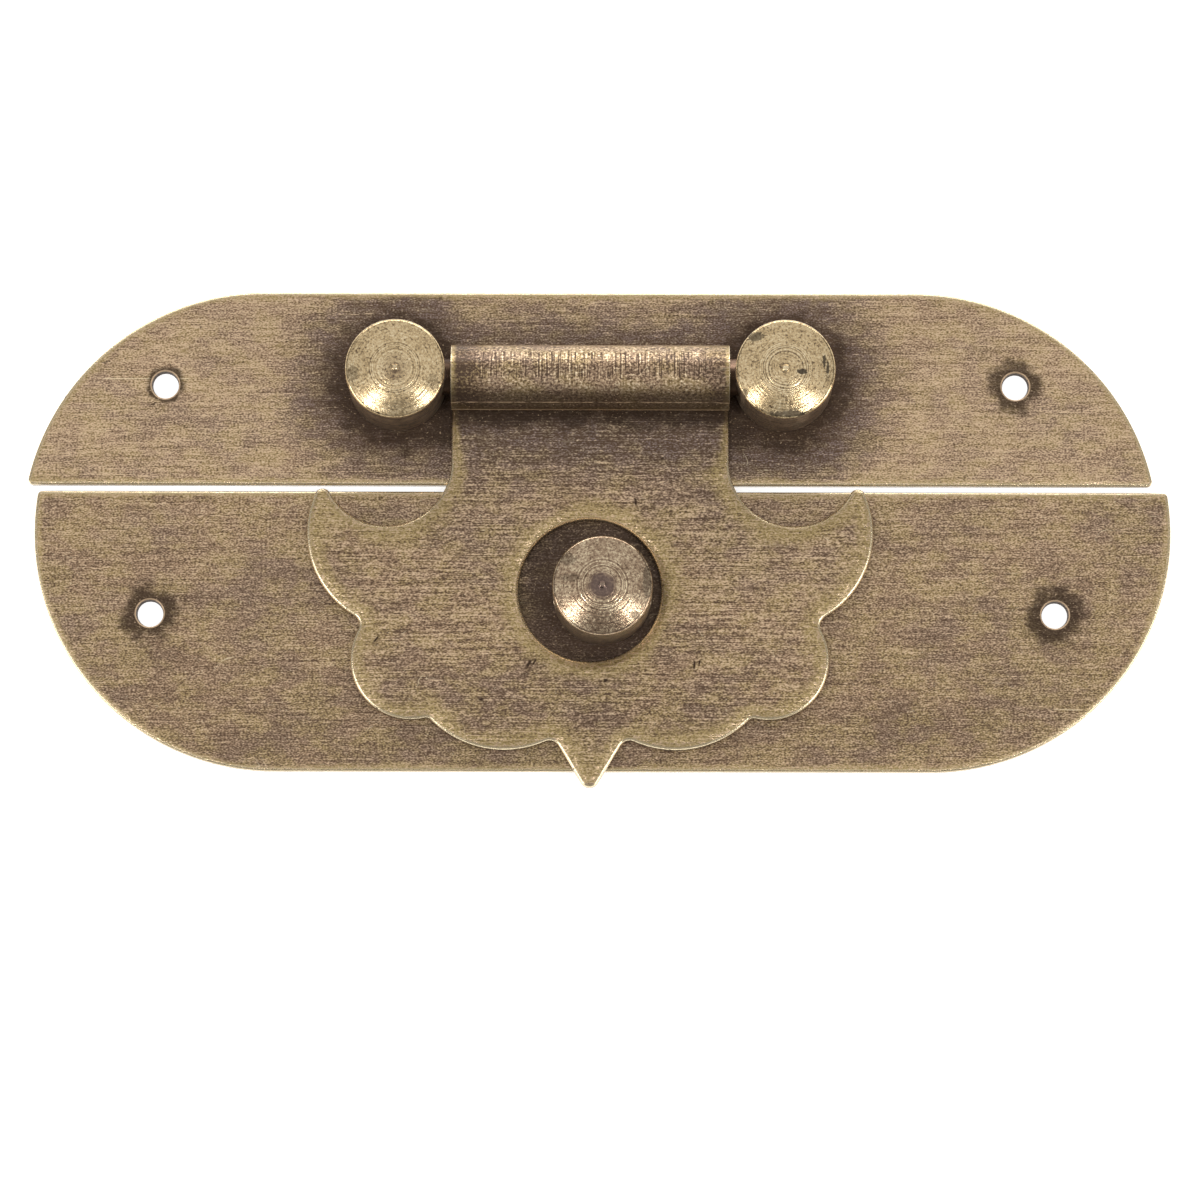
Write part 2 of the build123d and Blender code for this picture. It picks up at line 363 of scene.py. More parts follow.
def plate_outline(low_y, high_y, upper, middle_y, radius, half_length, corner, step):
    """Stretch of the stadium outline above or below the parting, which has rounded corners."""
    end = complex(half_length - radius, middle_y)
    parting, inwards, far_y = (low_y, 1, high_y) if upper else (high_y, -1, low_y)
    corner_y = parting + inwards * corner
    corner_x = end.real + math.sqrt((radius - corner) ** 2 - (corner_y - middle_y) ** 2)
    centre = complex(corner_x, corner_y)
    stops = [
        complex(0, parting), complex(corner_x, parting), towards(end, centre, radius),
        complex(end.real, far_y), complex(0, far_y),
    ]
    centres = [None, centre, end, None]
    if not upper:
        stops.reverse()
        centres.reverse()
    right = joined([
        straight(start, stop, step) if middle is None else bend(middle, start, stop, 1, step)
        for middle, start, stop in zip(centres, stops, stops[1:])
    ])
    return both_sides(right, high_y)


def hasp_outline(s, tip_angle, half_width, reach, sheet_length, step):
    """Outline of the flat hasp sheet: tip, two lobes a side, winged shoulders, neck and rolled stretch."""
    notch = complex(s["knuckle_half"] + s["notch_radius"], -s["notch_below"])
    wing = complex(half_width - s["wing_radius"], -s["wing_below"])
    middle = complex(s["middle_x"], -s["middle_below"])
    lower = complex(s["lower_x"], -s["lower_below"])
    tip = complex(0, s["tip_round"] - reach)
    point = crossing(notch, s["notch_radius"] + s["wing_point"], wing, s["wing_radius"] - s["wing_point"])
    wing_cusp = crossing(wing, s["wing_radius"] + s["wing_cusp"], middle, s["middle_radius"] + s["wing_cusp"])
    lobe_cusp = crossing(
        middle, s["middle_radius"] + s["lobe_cusp"], lower, s["lower_radius"] + s["lobe_cusp"]
    )
    tip_side = complex(math.sin(tip_angle), math.cos(tip_angle))
    outwards = tip_side * -1j
    line_start = tip + outwards * (s["tip_round"] + s["shoulder"])
    ahead = ((line_start - lower) * np.conj(tip_side)).real
    away = abs(line_start - lower) ** 2 - (s["lower_radius"] + s["shoulder"]) ** 2
    shoulder = line_start - tip_side * (ahead + math.sqrt(ahead**2 - away))

    tip_end = tip + outwards * s["tip_round"]
    at = shoulder - outwards * s["shoulder"]
    runs = [bend(tip, complex(0, -reach), tip_end, 1, step / 3), straight(tip_end, at, step)]
    neck = complex(s["knuckle_half"], -s["notch_below"])
    # Small arcs with the large arc after each, and where that one ends
    for small, small_out, finer, large, radius, large_out, following in (
        (shoulder, -1, 2, lower, s["lower_radius"], 1, lobe_cusp),
        (lobe_cusp, -1, 2, middle, s["middle_radius"], 1, wing_cusp),
        (wing_cusp, -1, 2, wing, s["wing_radius"], 1, point),
        (point, 1, 3, notch, s["notch_radius"], -1, neck),
    ):
        touch = towards(large, small, radius)
        runs.append(bend(small, at, touch, small_out, step / finer))
        at = towards(large, following, radius)
        runs.append(bend(large, touch, at, large_out, step))
    side_end = complex(s["knuckle_half"], sheet_length - KNUCKLE_CORNER)
    top_end = complex(s["knuckle_half"] - KNUCKLE_CORNER, sheet_length)
    corner = complex(top_end.real, side_end.imag)
    runs += [
        straight(neck, side_end, step),
        bend(corner, side_end, top_end, 1, step),
        straight(top_end, complex(0, sheet_length), step),
    ]
    return both_sides(joined(runs), sheet_length)


# Sheet meshes


def edge_profile(front, back, roll, sink, tight, back_round):
    """Rings from the front face down a gentle roll, over a tight round and the wall to the back face."""
    rings = []
    for part in np.linspace(0, 1, ROLL_RINGS):
        rings.append((roll + (tight - roll) * part, front - sink * part**2))
    for turn in np.linspace(0.18, math.pi / 2, ROUND_RINGS):
        rings.append((tight * (1 - math.sin(turn)), front - sink - tight * (1 - math.cos(turn))))
    for turn in np.linspace(0, math.pi / 2, BACK_RINGS):
        rings.append((back_round * (1 - math.cos(turn)), back + back_round * (1 - math.sin(turn))))
    rings.append((back_round * 1.5, back))
    return rings


def nail_profile(front, back):
    """Rings of a nail hole: rounded at the front and torn a little at the back."""
    rings = edge_profile(front, back, **NAIL_EDGE)[:ROLL_RINGS + ROUND_RINGS]
    return rings + [(inset, back + above) for inset, above in NAIL_TEAR]


def rivet_profile(front, back, flare, depth):
    """Rings of a hole that takes a riveted tenon: straight at the front, wider at the back."""
    return [(RIVET_EDGE, front), (0.0, front - RIVET_EDGE), (0.0, back + depth), (-flare, back)]


def room_inside(points, normals):
    """How far each edge point may move into the sheet before it meets another part of the edge."""
    endless = 1e9
    room = np.empty(len(points))
    for i, (point, normal) in enumerate(zip(points, normals)):
        gap = point - points
        facing = (gap * np.conj(normal)).real
        with np.errstate(divide="ignore", invalid="ignore"):
            reach = np.where(facing > 1e-6, np.abs(gap) ** 2 / (2 * facing), endless)
        reach[i] = endless
        room[i] = reach.min()
    return room


def round_scale(points, normals, profile, scale):
    """Scale of an edge's rounds at each point, which is less where the sheet is narrow and changes slowly."""
    wide = np.minimum(scale, ROOM_USED * room_inside(points, normals) / max(inset for inset, _ in profile))
    for _ in range(ROUND_PASSES):
        wide = np.minimum(wide, np.minimum(np.roll(wide, 1), np.roll(wide, -1)) + ROUND_CHANGE)
    return wide


def edge_walls(loops):
    """Points and faces of all edges of a sheet, and the front and back ring of each of them."""
    coords, faces, fronts, backs = [], [], [], []
    count = 0
    for points, normals, profile, scale in loops:
        around = len(points)
        here = np.arange(around)
        following = (here + 1) % around
        wide = round_scale(points, normals, profile, scale)
        fronts.append(count + here)
        for ring, (inset, height) in enumerate(profile):
            moved = points - normals * inset * (wide if inset > 0 else 1)
            coords.append(np.column_stack([moved.real, moved.imag, np.full(around, height)]))
            if ring:
                above = count - around
                quads = [above + here, count + here, count + following, above + following]
                faces += np.column_stack(quads).tolist()
            count += around
        backs.append(count - around + here)
    return np.concatenate(coords), faces, fronts, backs


def fill_face(coords, rings, normals, spacing):
    """All points with those of a new flat face between its border rings, and the faces in it."""
    ids = np.concatenate(rings)
    border = coords[ids, :2]
    edges, start = [], 0
    for ring in rings:
        edges += [(start + i, start + (i + 1) % len(ring)) for i in range(len(ring))]
        start += len(ring)
    test = inside_test(border, normals)
    inner = inner_points(border, test, spacing)
    flat = [Vector(point) for point in np.concatenate([border, inner])]
    found = delaunay_2d_cdt(flat, edges, [], 1, 1e-5, True)
    ids = np.concatenate([ids, np.arange(len(coords), len(coords) + len(inner))])
    coords = np.concatenate([coords, np.column_stack([inner, np.full(len(inner), coords[ids[0], 2])])])
    faces = [[int(ids[found[3][corner][0]]) for corner in face] for face in found[2]]
    return coords, [face for face in faces if test(*coords[face, :2].mean(0))[0]]


def sheet_mesh(name, loops, step, distances, shaped=None):
    """Closed sheet between its loops.

    Each loop is its points, normals, profile and scale of its rounds at each point. distances gives the
    attributes of wear, dirt and painted shade for flat points, and shaped bends the flat sheet into place.
    """
    normals = [loop[1] for loop in loops]
    coords, faces, fronts, backs = edge_walls(loops)
    coords, front = fill_face(coords, fronts, normals, step)
    coords, back = fill_face(coords, backs, normals, BACK_COARSER * step)
    faces += front + [face[::-1] for face in back]
    mesh = bpy.data.meshes.new(name)
    placed = shaped(coords) if shaped else coords
    mesh.from_pydata((placed * MM).tolist(), [], faces)
    mesh.update()
    write_attribute(mesh, "sheet", "FLOAT_VECTOR", coords)
    for key, values in distances(coords).items():
        write_attribute(mesh, key, "FLOAT", values)
    mesh.shade_smooth()
    mesh.set_sharp_from_angle(angle=SHEET_CREASE)
    return mesh


def point_tree(points):
    """Search tree of flat points."""
    tree = kdtree.KDTree(len(points))
    for i, (x, y) in enumerate(points):
        tree.insert((x, y, 0), i)
    tree.balance()
    return tree


def inside_test(border, normals):
    """Test of flat points against a border with outward normals: inside or not, and how far from it."""
    outward = np.concatenate(normals)
    tree = point_tree(border)

    def test(x, y):
        near, index, distance = tree.find((x, y, 0))
        return (x - near[0]) * outward[index].real + (y - near[1]) * outward[index].imag < 0, distance

    return test


def inner_points(border, test, spacing):
    """Points in even rows inside the border of a flat face, clear of its edges."""
    low, high = border.min(0), border.max(0)
    kept = []
    for row, y in enumerate(np.arange(low[1] + spacing / 2, high[1], spacing * ROW_PITCH)):
        for x in np.arange(low[0] + spacing * (0.25 + 0.5 * (row % 2)), high[0], spacing):
            inside, distance = test(x, y)
            if inside and distance > EDGE_CLEAR * spacing:
                kept.append((x, y))
    return np.array(kept).reshape(-1, 2)


def write_attribute(mesh, name, kind, values):
    """Stores one value for each point of a mesh."""
    made = mesh.attributes.new(name, kind, "POINT")
    key = "vector" if kind == "FLOAT_VECTOR" else "value"
    made.data.foreach_set(key, np.asarray(values, np.float32).ravel())


def edge_distance(coords, points, normals):
    """Distance of flat points from an outline, in millimetres."""
    tree = point_tree(np.column_stack([points.real, points.imag]))
    result = np.empty(len(coords))
    for i, (x, y, _) in enumerate(coords):
        near, index, distance = tree.find((x, y, 0))
        square = abs((x - near[0]) * normals[index].real + (y - near[1]) * normals[index].imag)
        result[i] = square if distance < 1.0 else distance
    return result


def ring_distance(coords, places, radius):
    """Distance of flat points from the nearest of several circles, in millimetres."""
    flat = coords[:, 0] + 1j * coords[:, 1]
    return np.min([np.abs(np.abs(flat - place) - radius) for place in places], axis=0)


def place_piece(name, mesh, material, node):
    """Object for a finished mesh, which takes the place of one node of the frame."""
    mesh.materials.clear()
    mesh.materials.append(material)
    piece = bpy.data.objects.new(name, mesh)
    bpy.context.scene.collection.objects.link(piece)
    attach(piece, BODY_OF[node])
    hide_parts(node)
    return piece


# Node trees

FLOAT, VECTOR, INTEGER = "NodeSocketFloat", "NodeSocketVector", "NodeSocketInt"
GEOMETRY, MATERIAL = "NodeSocketGeometry", "NodeSocketMaterial"


class Field:
    """Output of a node, which can be used in plain sums."""

    def __init__(self, socket):
        self.socket = socket
        self.tree = socket.id_data

    def __add__(self, other):
        return calc("ADD", self, other)

    def __sub__(self, other):
        return calc("SUBTRACT", self, other)

    def __rsub__(self, other):
        return calc("SUBTRACT", other, self)

    def __mul__(self, other):
        return calc("MULTIPLY", self, other)

    def __truediv__(self, other):
        return calc("DIVIDE", self, other)

    def __abs__(self):
        return calc("ABSOLUTE", self)

    __radd__ = __add__
    __rmul__ = __mul__


def wire(socket, value):
    """Gives a socket a link, a colour or another plain value."""
    if isinstance(value, Field):
        value.tree.links.new(value.socket, socket)
    elif socket.type == "RGBA":
        socket.default_value = (*value, 1.0)
    else:
        socket.default_value = value


def new_node(tree, kind, inputs=None, **settings):
    """New node with its settings and its inputs, which are given by name or number."""
    made = tree.nodes.new(kind)
    for key, value in settings.items():
        setattr(made, key, value)
    for key, value in (inputs or {}).items():
        wire(made.inputs[key], value)
    return made


def put(tree, kind, inputs=None, output=0, **settings):
    """One output of a new node."""
    return Field(new_node(tree, kind, inputs, **settings).outputs[output])


def fields(made):
    """All outputs of a node, by name."""
    return {socket.name: Field(socket) for socket in made.outputs}


def calc(operation, *values):
    """Result of one sum, in which at least one value is a field."""
    tree = next(value.tree for value in values if isinstance(value, Field))
    return put(tree, "ShaderNodeMath", dict(enumerate(values)), operation=operation)


def most(first, second):
    """Larger of two values."""
    return calc("MAXIMUM", first, second)


def flat_length(x, y):
    """Length of a flat vector."""
    return calc("SQRT", x * x + y * y)


def split(vector):
    """Parts X, Y and Z of a vector."""
    return fields(new_node(vector.tree, "ShaderNodeSeparateXYZ", {"Vector": vector}))


def ramp(value, low, high, kind="SMOOTHSTEP"):
    """Step from 0 at low to 1 at high, smooth or of another kind."""
    inputs = {"Value": value, "From Min": low, "From Max": high}
    return put(value.tree, "ShaderNodeMapRange", inputs, "Result", interpolation_type=kind)


def window(value, start, end, soft):
    """1 between start and end, fading to 0 over soft at either side."""
    return ramp(value, start - soft, start + soft) * ramp(value, end + soft, end - soft)


def mix(factor, under, over):
    """One colour over another."""
    # The colour sockets of the node are its seventh and eighth inputs and its third output
    return put(factor.tree, "ShaderNodeMix", {0: factor, 6: under, 7: over}, 2, data_type="RGBA")


def three_tones(tone, low, middle, high):
    """Colour that goes from low by way of middle to high as the tone goes from 0 to 1."""
    lower = mix(ramp(tone, 0.0, 0.5, "LINEAR"), low, middle)
    return mix(ramp(tone, 0.5, 1.0, "LINEAR"), lower, high)


def noise(vector, waves, detail, roughness):
    """Noise from 0 to 1, with so many waves to a millimetre along each axis."""
    spread = put(vector.tree, "ShaderNodeVectorMath", {0: vector, 1: waves}, operation="MULTIPLY")
    inputs = {"Vector": spread, "Scale": 1.0, "Detail": detail, "Roughness": roughness}
    return put(vector.tree, "ShaderNodeTexNoise", inputs, "Fac", noise_dimensions="3D")


def seeded(vector, seed):
    """The same vector moved to another stretch of the noise."""
    offset = put(vector.tree, "ShaderNodeVectorMath", {0: (17.3, 9.1, 5.7), "Scale": seed}, operation="SCALE")
    return put(vector.tree, "ShaderNodeVectorMath", {0: vector, 1: offset}, operation="ADD")


def group(name, inputs, outputs, kind="ShaderNodeTree"):
    """New node group with its sockets, given as name and socket type."""
    tree = bpy.data.node_groups.new(name, kind)
    for direction, sockets in (("INPUT", inputs), ("OUTPUT", outputs)):
        for label, socket_type in sockets.items():
            tree.interface.new_socket(label, in_out=direction, socket_type=socket_type)
    given = fields(tree.nodes.new("NodeGroupInput"))
    return tree, given, tree.nodes.new("NodeGroupOutput").inputs


def brushed_grain_group():
    """Tone of short brushed streaks and fine grains along the sheet, even about one half."""
    _, given, out = group(
        "Brushed grain", {"Sheet": VECTOR, "Seed": FLOAT, "Lines": FLOAT}, {"Tone": FLOAT, "Grains": FLOAT}
    )
    place = seeded(given["Sheet"], given["Seed"])
    tone = MIDDLE_GRAIN
    # Layers from long lines to short grains, as waves, detail, weight and whether they are long lines
    for waves, detail, weight, long in (
        ((0.2, 2.2, 1.0), 1.0, 0.06, False),
        ((0.12, 9.0, 1.0), 0.0, 0.5, True),
        ((0.35, 8.5, 1.0), 0.0, 0.45, True),
        ((1.5, 9.5, 2.0), 1.0, 0.70, False),
        ((5.5, 9.5, 3.0), 0.0, 1.7, False),
    ):
        layer = (noise(place, waves, detail, 0.6) - 0.5) * weight
        tone += layer * given["Lines"] if long else layer
    dashes = noise(place, (0.9, 8.0, 5.0), 1.0, 0.5)
    tone += ramp(dashes, 0.58, 0.70) * 0.28 - ramp(dashes, 0.42, 0.30) * 0.16
    wire(out["Tone"], tone)
    wire(out["Grains"], noise(place, (4.5, 6.0, 4.5), 1.0, 0.6))


def patina_group():
    """Large patches, middle mottling, small pits and glints of the antiqued finish."""
    marks = {
        "Patches": ((0.13, 0.18, 0.2), 3.0, 0.5, 0.38, 0.66),
        "Mottle": ((0.40, 0.62, 0.6), 3.0, 0.55, 0.38, 0.66),
        "Pits": ((1.5, 1.9, 1.7), 2.0, 0.5, 0.72, 0.78),
        "Glints": ((4.3, 6.0, 4.0), 1.0, 0.5, 0.66, 0.78),
    }
    _, given, out = group("Antique patina", {"Sheet": VECTOR, "Seed": FLOAT}, dict.fromkeys(marks, FLOAT))
    place = seeded(given["Sheet"], given["Seed"])
    for label, (waves, detail, roughness, low, high) in marks.items():
        wire(out[label], ramp(noise(place, waves, detail, roughness), low, high))


def worn_edge_group():
    """Wear that fades in from an edge, broken up by small noise."""
    _, given, out = group(
        "Worn edge", {"Sheet": VECTOR, "Distance": FLOAT, "Width": FLOAT}, {"Wear": FLOAT, "Rim": FLOAT}
    )
    rough = noise(given["Sheet"], (1.6, 2.2, 1.6), 4.0, 0.7)
    swell = noise(given["Sheet"], (0.16, 0.16, 0.16), 2.0, 0.5)
    width = given["Width"] * (0.1 + swell * 1.8)
    ragged = given["Distance"] + (rough - 0.5) * (width * 1.3)
    wire(out["Wear"], ramp(ragged / width, 1.3, 0.4))
    wire(out["Rim"], ramp(given["Distance"], 0.34, 0.10))


def dirt_and_shade_group():
    """Dark that fades out from a corner, a foot or a hole: dirt round holes and feet, and painted shade round
    the feet, in the catch's well and below the knuckle.
    """
    sockets = {"Sheet": VECTOR, "Distance": FLOAT, "Reach": FLOAT, "Core": FLOAT}
    _, given, out = group("Grime", sockets, {"Grime": FLOAT})
    rough = noise(given["Sheet"], (0.7, 0.9, 0.7), 5.0, 0.66)
    ragged = given["Distance"] / given["Reach"] + (rough - 0.5) * 2.0
    wire(out["Grime"], ramp(ragged, 0.95, given["Core"]))


def scratch_group():
    """Thin scratches, a few long ones along the brushing and some stray ones."""
    tree, given, out = group("Scratches", {"Sheet": VECTOR, "Seed": FLOAT}, {"Scratch": FLOAT})
    place = seeded(given["Sheet"], given["Seed"])
    total = 0.0
    # Directions, as angle, waves and how thin the scratches are
    for angle, waves, thin in (
        (0.03, (0.05, 2.6, 1.0), 0.010), (1.1, (0.2, 0.9, 1.0), 0.005), (-0.7, (0.2, 0.8, 1.0), 0.005)
    ):
        inputs = {"Vector": place, "Angle": angle}
        turned = put(tree, "ShaderNodeVectorRotate", inputs, rotation_type="Z_AXIS")
        line = ramp(abs(noise(turned, waves, 1.0, 0.4) - 0.5), thin, 0.0)
        where = ramp(noise(turned, (0.2, 0.6, 0.3), 2.0, 0.5), 0.64, 0.74)
        total = most(line * where, total)
    wire(out["Scratch"], total)


def turning_group():
    """Rings left by the lathe on the top and bands on the side of a turned piece."""
    tree, given, out = group(
        "Turning marks", {"Turned": VECTOR, "Seed": FLOAT}, {"Rings": FLOAT, "Bands": FLOAT, "Radius": FLOAT}
    )
    at = split(given["Turned"])
    radius = flat_length(at["X"], at["Y"])
    for label, value, waves in (("Rings", radius, 7.0), ("Bands", at["Z"], 3.0)):
        inputs = {"W": value * waves + given["Seed"], "Scale": 1.0, "Detail": 3.0, "Roughness": 0.7}
        marks = put(tree, "ShaderNodeTexNoise", inputs, "Fac", noise_dimensions="1D")
        wire(out[label], ramp(marks, 0.3, 0.7))
    wire(out["Radius"], radius)


# Materials


def new_material(name):
    """Empty material with its shader and output."""
    material = bpy.data.materials.new(name)
    material.use_nodes = True
    tree = material.node_tree
    tree.nodes.clear()
    shader = new_node(tree, "ShaderNodeBsdfPrincipled")
    new_node(tree, "ShaderNodeOutputMaterial", {"Surface": Field(shader.outputs[0])})
    return material, tree, shader


def dress(shader, values):
    """Gives the inputs of a shader their values."""
    for key, value in values.items():
        wire(shader.inputs[key], value)


def bumped(height, strength, distance):
    """Surface direction over small heights, with the distance in millimetres."""
    inputs = {"Height": height, "Strength": strength, "Distance": distance * MM}
    return put(height.tree, "ShaderNodeBump", inputs)


def use(tree, name, **inputs):
    """Places a shared group in a material."""
    return fields(new_node(tree, "ShaderNodeGroup", inputs, node_tree=bpy.data.node_groups[name]))


def attribute(tree, name, output="Fac"):
    """Value that the mesh stores at each point."""
    return put(tree, "ShaderNodeAttribute", None, output, attribute_name=name)


def streak(at, x, y, length, width, angle):
    """1 inside a single straight mark on a sheet, given by its middle, size and angle."""
    along_x, along_y = math.cos(angle), math.sin(angle)
    from_x, from_y = at["X"] - x, at["Y"] - y
    along = abs(from_x * along_x + from_y * along_y)
    across = abs(from_y * along_x - from_x * along_y)
    return ramp(along, length / 2, length / 2 - min(0.4, length / 3)) * ramp(across, width / 2, width / 6)


def ground_colour(finish, tone, patina, dim, rolled):
    """Antiqued ground of a sheet: brown, grey where it is thick and where painted shade dims it, olive in
    patches, and lively on the roll.
    """
    colour = three_tones(tone, finish.dark, finish.brown, finish.gold)
    # Grey where the patina is thick, and as painted shade near the feet and the knuckle
    thick_patina_and_shade = patina["Patches"] * 0.28 + dim * 0.85
    if rolled:
        thick_patina_and_shade += rolled * 0.1
    greyed = three_tones(tone, finish.dark, finish.grey, finish.gold)
    colour = mix(calc("MINIMUM", thick_patina_and_shade, 0.9), colour, greyed)
    yellow = patina["Mottle"] * (0.65 - dim * 0.3)
    colour = mix(yellow, colour, three_tones(tone, finish.dark, finish.olive, finish.gold))
    colour = mix(patina["Glints"] * 0.3, colour, finish.bright)
    if rolled:
        colour = mix(ramp(tone, 0.85, 1.4) * rolled, colour, finish.bright)
        colour = mix(ramp(tone, 0.3, -0.2) * rolled * 0.45, colour, finish.grime_and_shade)
    return colour


def deposits_and_shade(tree, sheet, at, patina, look, crease):
    """How dark a sheet is with pits, nicks, the dirt round its holes, dirt and painted shade round its feet
    and under the knuckle, and dark patina and painted shade on the underside of its roll.
    """
    dark = patina["Pits"] * 0.75
    for mark in look["nicks"]:
        dark = most(dark, streak(at, *mark))
    for key in ("bore", "foot"):
        if look[key]:
            reach, core, strength = look[key]
            dirt_and_shade = use(tree, "Grime", Sheet=sheet, Distance=attribute(tree, key), Reach=reach, Core=core)
            dark = most(dark, dirt_and_shade["Grime"] * strength)
    # Underside of the roll next to its lip: dark patina and painted shade
    if crease:
        dark = most(dark, ramp(at["Y"], crease - 1.8, crease - 0.6) * 0.78)
    return dark


def crease_lines(sheet, at, crease):
    """Worn lines on a rolled sheet: a broken one where its lip starts and one along the lip's edge."""
    broken = ramp(noise(sheet, (0.7, 0.2, 0.2), 3.0, 0.7), 0.38, 0.6)
    line = window(at["Y"], crease - 0.05, crease + 0.06, 0.05) * broken * 0.85
    return most(line, ramp(at["Y"], crease + 0.92, crease + 1.02) * 0.75)


def knuckle_tone(sheet, at, tone, rolled, crease):
    """Tone of the rolled knuckle: lively grain, thin chatter marks on its crown, gold below and dull ends,
    with a painted highlight along its top and painted shade over its front.
    """
    tone += (noise(sheet, (3.0, 4.6, 1.5), 2.0, 0.7) - 0.5) * (rolled * 2.1)
    flecks = ramp(noise(sheet, (4.6, 6.4, 1.5), 1.0, 0.5), 0.42, 0.58)
    tone += (flecks - 0.5) * (rolled * 0.5)
    # Painted highlight: the top of the roll, which faces the rear light, is lighter
    tone += window(at["Y"], crease - 6.2, crease - 3.9, 0.4) * 0.16
    cuts = noise(sheet, (7.0, 0.3, 1.0), 1.0, 0.5)
    chatter = ramp(cuts, 0.54, 0.68) * 0.4 - ramp(cuts, 0.45, 0.37)
    where = window(at["Y"], crease - 4.1, crease - 2.2, 0.35)
    where *= ramp(noise(sheet, (0.35, 0.9, 0.1), 2.0, 0.6), 0.32, 0.5)
    where *= ramp(abs(at["X"]), 11.0, 8.5)
    tone += chatter * (where * 1.5)
    # Painted shade: the front of the roll below that is darker
    tone -= window(at["Y"], crease - 3.6, crease - 1.5, 0.5) * 0.12
    ends = ramp(abs(at["X"]), 8.6, 12.0) + ramp(at["X"], -8.0, -11.8) * 1.3
    tone -= ends * rolled * 0.26
    return tone + window(at["Y"], crease - 2.2, crease - 1.3, 0.4) * 0.22


def sheet_brass(name, finish, front, look, crease=None):
    """Brushed and antiqued sheet brass, worn along its edges, with dirt round holes, dirt and painted shade
    round feet and under the knuckle, and painted shade on its cut walls.

    front is the height of the face, and crease the place along a rolled sheet where its lip starts.
    """
    material, tree, shader = new_material(name)
    sheet = attribute(tree, "sheet", "Vector")
    at = split(sheet)
    near_edge = attribute(tree, "edge")
    grain = use(tree, "Brushed grain", Sheet=sheet, Seed=look["seed"], Lines=look["lined"])
    patina = use(tree, "Antique patina", Sheet=sheet, Seed=look["seed"])
    edge = use(tree, "Worn edge", Sheet=sheet, Distance=near_edge, Width=look["edge_width"])
    scratch = use(tree, "Scratches", Sheet=sheet, Seed=look["seed"])["Scratch"]
    for mark in look["lines"]:
        scratch = most(scratch, streak(at, *mark))

    reach, strength = look["dusk"]
    dim = ramp(attribute(tree, "foot"), reach, 0.0)
    tone = grain["Tone"] + look["lift"]
    tone += (patina["Mottle"] - 0.5) * 0.07 - (patina["Patches"] - 0.4) * 0.08
    # Dusk dims the sheet near the feet and the knuckle (dirt and painted shade), and painted shade darkens
    # the sheets towards the bottom, where less light falls
    tone -= dim * strength + ramp(at["Y"], -14.0, -34.0) * 0.10
    rolled = ramp(at["Y"], 0.5, 3.0) if crease else None
    if crease:
        tone -= (grain["Tone"] - MIDDLE_GRAIN) * rolled * 0.7
        tone = knuckle_tone(sheet, at, tone, rolled, crease)
    colour = ground_colour(finish, tone, patina, dim, rolled)

    worn_tone = grain["Grains"] + (grain["Tone"] - 0.5) * 0.6 + ramp(near_edge, 1.1, 0.2) * 0.2
    colour = mix(edge["Wear"] * 0.85, colour, three_tones(worn_tone, finish.dark, finish.olive, finish.gold))
    colour = mix(edge["Rim"] * look["rim"], colour, finish.bright)
    colour = mix(scratch * 0.55, colour, finish.bright)
    dark = deposits_and_shade(tree, sheet, at, patina, look, crease)
    colour = mix(dark, colour, finish.grime_and_shade)
    colour = mix(patina["Glints"] * dark * 0.75, colour, finish.gold)
    lip_ring = ramp(attribute(tree, "lip"), 0.16, 0.08) * ramp(at["Z"], front - 0.2, front - 0.06)
    colour = mix(lip_ring * 0.9, colour, finish.gold)
    # Painted shade on the cut walls of the sheet and of its holes
    wall = window(at["Z"], 0.16, front - 0.36, 0.1) * 0.92
    colour = mix(wall, colour, finish.grime_and_shade)
    if crease:
        colour = mix(crease_lines(sheet, at, crease), colour, finish.gold)

    rough = 0.50 - edge["Wear"] * 0.12 - edge["Rim"] * 0.14 + dark * 0.12 - (grain["Tone"] - 0.5) * 0.2
    height = grain["Tone"] + grain["Grains"] * 0.7 - patina["Pits"] + scratch * 0.5
    dress(shader, {
        "Base Color": colour, "Metallic": finish.metal, "Roughness": rough,
        "Coat Weight": (1.0 - most(dark * 0.7, wall)) * finish.lacquer, "Coat Roughness": 0.3,
        "Normal": bumped(height, 1.0, 0.008),
    })
    return material


